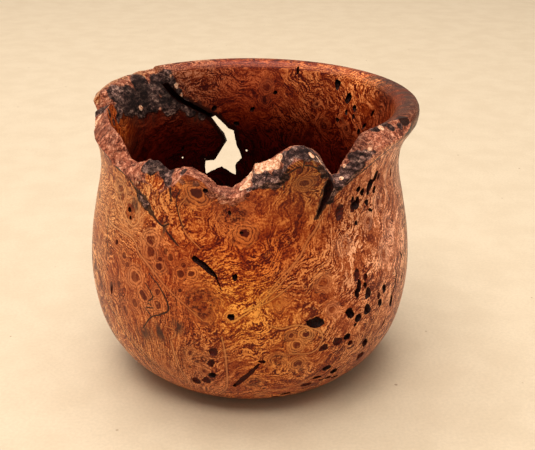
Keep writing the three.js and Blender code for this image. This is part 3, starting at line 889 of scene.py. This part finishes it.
class Nodes:
    """Short ways to add the nodes that the materials use."""

    def __init__(self, name):
        self.material = bpy.data.materials.new(name)
        self.material.use_nodes = True
        self.tree = self.material.node_tree
        self.surface = self.tree.nodes["Principled BSDF"]
        self.position = self.tree.nodes.new("ShaderNodeTexCoord").outputs["Object"]

    def plug(self, socket, value):
        if isinstance(value, bpy.types.NodeSocket):
            self.tree.links.new(value, socket)
        elif isinstance(value, tuple) or not hasattr(socket.default_value, "__len__"):
            socket.default_value = value
        else:
            socket.default_value = (value,) * len(socket.default_value)

    def attribute(self, name, output="Fac"):
        node = self.tree.nodes.new("ShaderNodeAttribute")
        node.attribute_name = name
        return node.outputs[output]

    def parts(self, vector):
        node = self.tree.nodes.new("ShaderNodeSeparateXYZ")
        self.plug(node.inputs[0], vector)
        return node.outputs

    def math(self, operation, *values):
        node = self.tree.nodes.new("ShaderNodeMath")
        node.operation = operation
        for socket, value in zip(node.inputs, values):
            self.plug(socket, value)
        return node.outputs[0]

    def times(self, first, second):
        return self.math("MULTIPLY", first, second)

    def add(self, first, second):
        return self.math("ADD", first, second)

    def centred(self, value, amount):
        """A value of 0 to 1 made to swing about zero, amount from end to end."""
        return self.times(self.math("SUBTRACT", value, 0.5), amount)

    def along(self, axis):
        """Millimetres along X, Y or Z (0, 1 or 2)."""
        return self.times(self.parts(self.position)[axis], 1 / MM)

    def vector(self, operation, first, second):
        node = self.tree.nodes.new("ShaderNodeVectorMath")
        node.operation = operation
        self.plug(node.inputs[0], first)
        self.plug(node.inputs["Scale"] if operation == "SCALE" else node.inputs[1], second)
        return node.outputs["Vector"]

    def noise(self, size, detail=2.0, rough=0.5, colour=False):
        """Noise whose largest lumps are about size millimetres across."""
        node = self.tree.nodes.new("ShaderNodeTexNoise")
        self.plug(node.inputs["Vector"], self.position)
        node.inputs["Scale"].default_value = 1 / (size * MM)
        node.inputs["Detail"].default_value = detail
        node.inputs["Roughness"].default_value = rough
        return node.outputs[1] if colour else node.outputs[0]

    def strokes(self, phase, width, length):
        """Noise drawn out along the contours of phase, in strokes of this width and length in mm."""
        node = self.tree.nodes.new("ShaderNodeTexNoise")
        node.noise_dimensions = "4D"
        self.plug(node.inputs["Vector"], self.vector("SCALE", self.position, 1 / (length * MM)))
        self.plug(node.inputs["W"], self.math("DIVIDE", phase, width))
        node.inputs["Scale"].default_value = 1
        node.inputs["Detail"].default_value = 1.5
        node.inputs["Roughness"].default_value = 0.5
        return node.outputs[0]

    def cells(self, size, vector=None, feature="F1"):
        node = self.tree.nodes.new("ShaderNodeTexVoronoi")
        node.feature = feature
        self.plug(node.inputs["Vector"], vector or self.position)
        node.inputs["Scale"].default_value = 1 / (size * MM)
        return node.outputs["Distance"]

    def step(self, value, low, high, start=0.0, end=1.0):
        """A smooth step of value between low and high, from start to end."""
        node = self.tree.nodes.new("ShaderNodeMapRange")
        node.interpolation_type = "SMOOTHSTEP"
        for name, setting in (("Value", value), ("From Min", low), ("From Max", high),
                              ("To Min", start), ("To Max", end)):
            self.plug(node.inputs[name], setting)
        return node.outputs["Result"]

    def ramp(self, value, stops):
        """Greys or colours at positions along value, blended between them."""
        node = self.tree.nodes.new("ShaderNodeValToRGB")
        self.plug(node.inputs[0], value)
        elements = node.color_ramp.elements
        while len(elements) < len(stops):
            elements.new(0.5)
        for element, (position, level) in zip(elements, stops):
            element.position = position
            element.color = level if isinstance(level, tuple) else (level, level, level, 1)
        return node.outputs["Color"]

    def mix(self, factor, first, second, blend="MIX"):
        node = self.tree.nodes.new("ShaderNodeMix")
        node.data_type = "RGBA"
        node.blend_type = blend
        self.plug(node.inputs[0], factor)
        self.plug(node.inputs[6], first)
        self.plug(node.inputs[7], second)
        return node.outputs[2]

    def multiply(self, first, second):
        return self.mix(1.0, first, second, "MULTIPLY")

    def paint(self, under, mask, amount, over):
        """One colour over another where the mask is, as strongly as amount."""
        return self.mix(self.times(mask, amount), under, over)

    def bump(self, height, depth):
        node = self.tree.nodes.new("ShaderNodeBump")
        node.inputs["Distance"].default_value = depth * MM
        self.plug(node.inputs["Height"], height)
        self.plug(self.surface.inputs["Normal"], node.outputs[0])


def eye_rings(n):
    """How dark and how light the nearest eye makes a point, its lift of the grain and how calm it is."""
    across, up, size = n.parts(n.attribute("eye", "Vector"))
    dark, light, speckle = n.parts(n.attribute("eye_look", "Vector"))
    sway = n.vector("SUBTRACT", n.noise(4.2, 3, 0.6, colour=True), (0.5, 0.5, 0.5))
    sway_across, sway_up, _ = n.parts(sway)
    across = n.math("MULTIPLY_ADD", sway_across, 0.85, across)
    up = n.math("MULTIPLY_ADD", sway_up, 0.85, up)
    away = n.math("SQRT", n.add(n.times(across, across), n.times(up, up)))
    rings = n.math("DIVIDE", away, 1.6)
    heart = n.ramp(rings, [
        (0.0, 1), (0.25, 1), (0.31, 0), (0.41, 0), (0.45, 0.9), (0.49, 0),
        (0.6, 0), (0.64, 0.7), (0.68, 0), (0.8, 0), (0.84, 0.5), (0.88, 0),
    ])
    halo = n.ramp(rings, [
        (0.0, 0), (0.28, 0), (0.33, 1), (0.4, 0.7), (0.45, 0), (0.5, 0.9),
        (0.58, 0.6), (0.64, 0), (0.7, 0.6), (0.78, 0.3), (0.84, 0), (0.95, 0),
    ])
    mottle = n.step(n.noise(1.3, 2, 0.7), 0.42, 0.6)
    speckled = n.times(n.step(away, 0.6, 1.0, 1.0, 0.0), n.times(speckle, mottle))
    darkness = n.math("MAXIMUM", n.times(heart, dark), speckled)
    lightness = n.times(halo, light)
    lift = n.times(n.step(away, 0.0, 2.2, 1.0, 0.0), n.times(size, 2.2))
    calm = n.step(away, 0.5, 1.2, 0.5, 1.0)
    return darkness, lightness, lift, calm


def grain(n, lift, calm):
    """Broken strokes along the run of the grain, 0 dark to 1 light."""
    big = n.times(n.noise(20, 2, 0.5), 24)
    small = n.times(n.noise(6, 3, 0.55), 6)
    phase = n.add(n.add(n.attribute("flow"), big), n.add(small, lift))
    strokes = n.centred(n.strokes(phase, 0.66, 4), 3)
    bands = n.centred(n.strokes(phase, 3, 18), 1.15)
    stipple = n.centred(n.noise(0.78, 2, 0.7), 2.5)
    strength = n.step(n.noise(14, 2, 0.5), 0.36, 0.62, 0.5, 1.2)
    fine = n.times(n.add(strokes, stipple), n.times(strength, calm))
    return n.add(n.add(fine, bands), 0.5)


def near_line(n, name, reach=1.0):
    """1 on the nearest of the named lines and 0 away from it, with wavering sides."""
    signed, found, _ = n.parts(n.attribute(name, "Vector"))
    away = n.math("ABSOLUTE", n.add(signed, n.centred(n.noise(1.8, 2, 0.6), 0.9)))
    return n.times(n.step(away, 0.7 * reach, 1.15 * reach, 1.0, 0.0), found)


def ragged(n, mask, size, amount):
    """A mask with its edge broken up by noise."""
    return n.step(n.add(mask, n.centred(n.noise(size, 3, 0.65), amount)), 0.42, 0.58)


# How much lighter or darker than the wood around it a figure is, in red, green and blue.
LIGHT_FIGURE = (1.9, 3.6, 8, 1)
DARK_FIGURE = (0.16, 0.03, 0.02, 1)
GRAIN_FIGURE = [
    (0.1, (0.17, 0.02, 0.01, 1)), (0.32, (0.52, 0.28, 0.14, 1)), (0.53, (0.96, 0.92, 0.9, 1)),
    (0.7, (1.4, 2, 3, 1)), (0.9, (2.2, 4.3, 9, 1)),
]


def polished_wood(n, lines, darkness, lightness):
    """The turned wood: its tone with painted light and shade, made lighter and darker by the figures,
    and stained, with painted shade by the pocket.
    """
    # The tint carries painted light on the right outside and painted shade deep inside the hollow.
    tint_light_and_shade = n.attribute("tint_light_and_shade", "Color")
    light_figure = n.multiply(tint_light_and_shade, LIGHT_FIGURE)
    dark_figure = n.multiply(tint_light_and_shade, DARK_FIGURE)
    wood = n.multiply(tint_light_and_shade, n.ramp(lines, GRAIN_FIGURE))
    cloud = n.step(n.noise(9, 3, 0.6), 0.4, 0.7)
    wood = n.paint(wood, cloud, 0.3, n.multiply(tint_light_and_shade, by_eye(190, 160, 140)))
    wood = n.paint(wood, lightness, 0.8, light_figure)
    wood = n.paint(wood, darkness, 0.94, dark_figure)
    # Grey streaks: real staining, and painted shade round the pocket at the back left.
    streaks = n.step(n.strokes(n.along(1), 1.3, 9), 0.4, 0.56)
    wood = n.paint(wood, n.times(n.attribute("stain_and_shade"), streaks), 0.85, by_eye(64, 42, 34))
    seeds = n.cells(3.4)
    sown = n.step(n.noise(14, 1, 0.5), 0.5, 0.58)
    seed_ring = n.times(n.ramp(seeds, [(0.0, 0), (0.1, 0), (0.17, 1), (0.26, 0)]), sown)
    seed_heart = n.times(n.ramp(seeds, [(0.0, 1), (0.09, 0.9), (0.15, 0)]), sown)
    wood = n.paint(wood, seed_ring, 0.5, light_figure)
    wood = n.paint(wood, seed_heart, 0.8, dark_figure)
    wood = n.paint(wood, near_line(n, "pale_line", 2.4), 0.4, dark_figure)
    return n.paint(wood, near_line(n, "pale_line"), 0.6, light_figure)


def raw_wood(n, lines, wandering):
    """The unturned wood of the natural edge."""
    speck = n.add(n.times(lines, 0.22), n.times(n.noise(2, 4, 0.7), 0.78))
    raw = n.ramp(speck, [
        (0.36, by_eye(84, 38, 28)), (0.45, by_eye(146, 78, 56)), (0.55, by_eye(184, 110, 82)),
        (0.68, by_eye(236, 164, 130)),
    ])
    raw = n.paint(raw, n.step(n.noise(7, 3, 0.6), 0.44, 0.66), 0.6, by_eye(96, 58, 48))
    splits = n.step(n.cells(3.6, wandering, "DISTANCE_TO_EDGE"), 0.01, 0.05, 1.0, 0.0)
    return n.paint(raw, splits, 0.6, by_eye(48, 22, 16))


def layered_bark(n, wandering):
    """Dark bark in thin level layers, cracked across."""
    layers = n.strokes(n.along(2), 1.4, 5)
    speck = n.add(n.times(layers, 0.4), n.times(n.noise(2.6, 5, 0.8), 0.6))
    bark = n.ramp(speck, [
        (0.38, by_eye(14, 8, 8)), (0.46, by_eye(64, 40, 36)), (0.53, by_eye(126, 90, 82)),
        (0.62, by_eye(214, 168, 148)),
    ])
    cracks = n.step(n.cells(2.1, wandering, "DISTANCE_TO_EDGE"), 0.02, 0.1, 1.0, 0.0)
    bark = n.paint(bark, cracks, 0.8, by_eye(10, 6, 6))
    bark = n.paint(bark, n.step(n.noise(9, 3, 0.5), 0.42, 0.6), 0.7, by_eye(34, 16, 13))
    # Darker where the stain mask is: real staining, and painted shade on the bark in the pocket at the
    # back left.
    return n.paint(bark, n.attribute("stain_and_shade"), 0.66, by_eye(16, 8, 7))


def pale_cork(n):
    """The freshly broken fragments."""
    return n.ramp(n.noise(1.2, 3, 0.7), [
        (0.34, by_eye(150, 78, 50)), (0.48, by_eye(232, 166, 128)), (0.62, by_eye(255, 214, 178)),
    ])


def burl_material():
    n = Nodes("oiled_burl_wood")
    darkness, lightness, lift, calm = eye_rings(n)
    lines = grain(n, lift, calm)
    wander = n.vector("SCALE", n.noise(3, 3, 0.6, colour=True), 3 * MM)
    wandering = n.vector("ADD", n.position, wander)
    bark_mask, raw_mask, cork_mask = n.parts(n.attribute("cover", "Vector"))
    is_raw = ragged(n, raw_mask, 2.2, 0.5)
    is_bark = ragged(n, bark_mask, 3, 0.5)
    is_cork = ragged(n, cork_mask, 1.8, 0.4)
    dark = near_line(n, "dark_line")
    wood = polished_wood(n, lines, darkness, lightness)
    colour = n.paint(wood, dark, 0.92, by_eye(36, 18, 14))
    colour = n.mix(is_raw, colour, raw_wood(n, lines, wandering))
    colour = n.mix(is_bark, colour, layered_bark(n, wandering))
    colour = n.mix(is_cork, colour, pale_cork(n))
    n.plug(n.surface.inputs["Base Color"], colour)
    n.surface.inputs["Specular IOR Level"].default_value = 0.17

    rough = n.math("MAXIMUM", is_raw, n.math("MAXIMUM", is_bark, is_cork))
    oiled = n.step(lines, 0.1, 0.9, 0.4, 0.32)
    n.plug(n.surface.inputs["Roughness"], n.add(oiled, n.times(rough, 0.45)))
    crumbs = n.times(n.times(n.noise(1.4, 4, 0.7), rough), 1.6)
    height = n.add(n.times(lines, 0.06), crumbs)
    n.bump(n.math("SUBTRACT", height, n.times(dark, 0.15)), 0.7)
    return n.material


def pit_material(name, low, high):
    n = Nodes(name)
    crumb = n.noise(0.9, 3, 0.7)
    n.plug(n.surface.inputs["Base Color"], n.ramp(crumb, [(0.38, low), (0.66, high)]))
    n.plug(n.surface.inputs["Roughness"], n.step(crumb, 0.3, 0.7, 0.35, 0.7))
    n.bump(crumb, 0.5)
    n.surface.inputs["Specular IOR Level"].default_value = 0.2
    return n.material


def cutters():
    """Everything that is taken out of the turned shell, in order."""
    yield outside_the_burl()
    yield wall_break()
    yield seam("cut_front_cleft", FRONT_CLEFT, FRONT_CLEFT_DEPTH, outer_wall, 1, "black")
    yield seam("cut_back_seam", BACK_SEAM, BACK_SEAM_DEPTH, inner_wall, -1, "black")
    for slit in BLACK_SLITS:
        yield seam("cut_slit", slit, 3, outer_wall, 1, "black")
    yield seam("cut_gouge", BROWN_GOUGE, 1.3, outer_wall, 1, "brown")
    yield from pinholes()
    back_pits = scattered_pits(34, 82, 278, 16, 108, 5)
    for mark, pits, wall, outward, deepest in (
        ("black", BLACK_PITS + back_pits, outer_wall, 1, 3),
        ("brown", BROWN_PITS, outer_wall, 1, 1.3),
        ("black", INNER_PITS + scattered_pits(16, -60, 60, 60, 100, 6), inner_wall, -1, 2.5),
    ):
        for points, faces in pit_batches(pits, wall, outward, deepest):
            yield make_object("cut_pits", points, faces, marks[mark])


def finish_vessel(vessel):
    """Describe the surface to its materials, then put them on in place of the marks."""
    mesh = vessel.data
    kinds = np.array([list(marks.values()).index(material) for material in mesh.materials])
    indices = np.empty(len(mesh.polygons), int)
    mesh.polygons.foreach_get("material_index", indices)
    kind = kinds[indices]
    mesh.polygons.foreach_set("material_index", kind)
    describe_surface(mesh)
    mesh.materials.clear()
    mesh.materials.append(burl_material())
    # Near black in the pits, pinholes, slits and seams with the black mark: partly their own dark stain,
    # partly painted shade of their depths.
    mesh.materials.append(pit_material("pit_black_stain_and_shade", by_eye(8, 3, 2), by_eye(60, 20, 12)))
    mesh.materials.append(pit_material("pit_brown", by_eye(40, 8, 4), by_eye(96, 32, 18)))
    final = np.select([kind == BLACK, kind == BROWN], [1, 2], 0)
    mesh.polygons.foreach_set("material_index", final)
    mesh.shade_smooth()
    mesh.set_sharp_from_angle(angle=math.radians(38))


vessel = turned_shell()
recalculate_normals(vessel)
for cutter in cutters():
    cut(vessel, cutter)
finish_vessel(vessel)
for mark in marks.values():
    bpy.data.materials.remove(mark)
vessel.name = "burl_vessel_wood"
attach(vessel, "root")
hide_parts("burl_vessel")


# ---- stage, light and camera -----------------------------------------------------------

FLOOR = 5000                    # half the width of the floor
LIGHT_AIM = (0, 0, 0.06)


def floor():
    points = [(x * FLOOR, y * FLOOR, 0) for x, y in ((-1, -1), (1, -1), (1, 1), (-1, 1))]
    piece = make_object("floor", points, [(0, 1, 2, 3)])
    n = Nodes("cream_paper")
    mottle = n.mix(n.step(n.noise(26, 4, 0.6), 0.35, 0.65), (0.62, 0.5, 0.355, 1), (0.66, 0.54, 0.39, 1))
    paper = n.mix(n.step(n.noise(1.6, 3, 0.7), 0.3, 0.7, 0.0, 0.35), mottle, (0.5, 0.4, 0.28, 1))
    speck = n.times(n.step(n.cells(16), 0.035, 0.06, 1.0, 0.0), n.step(n.noise(50, 1), 0.5, 0.56))
    n.plug(n.surface.inputs["Base Color"], n.paint(paper, speck, 0.6, by_eye(120, 80, 50)))
    n.surface.inputs["Roughness"].default_value = 0.85
    piece.data.materials.append(n.material)


def area_light(name, position, size, power, color):
    lamp = bpy.data.lights.new(name, "AREA")
    lamp.shape = "RECTANGLE"
    lamp.size, lamp.size_y = size
    lamp.energy = power
    lamp.color = color
    piece = bpy.data.objects.new(name, lamp)
    piece.location = position
    facing = Vector(LIGHT_AIM) - Vector(position)
    piece.rotation_euler = facing.to_track_quat("-Z", "Y").to_euler()
    bpy.context.scene.collection.objects.link(piece)


def studio():
    world = bpy.data.worlds.new("soft_room")
    world.use_nodes = True
    tree = world.node_tree
    background = tree.nodes["Background"]
    direction = tree.nodes.new("ShaderNodeTexCoord").outputs["Generated"]
    split = tree.nodes.new("ShaderNodeSeparateXYZ")
    sky = tree.nodes.new("ShaderNodeValToRGB")
    sky.color_ramp.elements[0].color = (0.48, 0.41, 0.33, 1)
    sky.color_ramp.elements[1].color = (0.86, 0.8, 0.72, 1)
    tree.links.new(direction, split.inputs[0])
    tree.links.new(split.outputs["Z"], sky.inputs[0])
    tree.links.new(sky.outputs["Color"], background.inputs["Color"])
    background.inputs["Strength"].default_value = 0.56
    bpy.context.scene.world = world
    area_light("window", (-0.25, 0.3, 1.95), (1.7, 1.7), 40, (1, 0.96, 0.9))
    area_light("fill", (-0.25, -1.0, 1.8), (1.5, 0.6), 25, (1, 0.94, 0.86))
    bpy.context.scene.view_settings.view_transform = "Standard"


# The camera stands in front, higher than the rim, and looks down at the middle of the vessel.
CAMERA_EYE = Vector((0, -0.41436, 0.24619))
CAMERA_AIM = Vector((0.0082, 0.0010, 0.0673))
CAMERA_LENS = 63.7
CAMERA_ROLL = 0.47              # degrees


def camera():
    data = bpy.data.cameras.new("camera")
    data.lens = CAMERA_LENS
    data.sensor_width = 36
    data.clip_start = 0.01
    piece = bpy.data.objects.new("camera", data)
    piece.location = CAMERA_EYE
    facing = (CAMERA_AIM - CAMERA_EYE).to_track_quat("-Z", "Y")
    roll = Quaternion((0, 0, 1), math.radians(CAMERA_ROLL))
    piece.rotation_euler = (facing @ roll).to_euler()
    bpy.context.scene.collection.objects.link(piece)
    bpy.context.scene.camera = piece


floor()
studio()
camera()
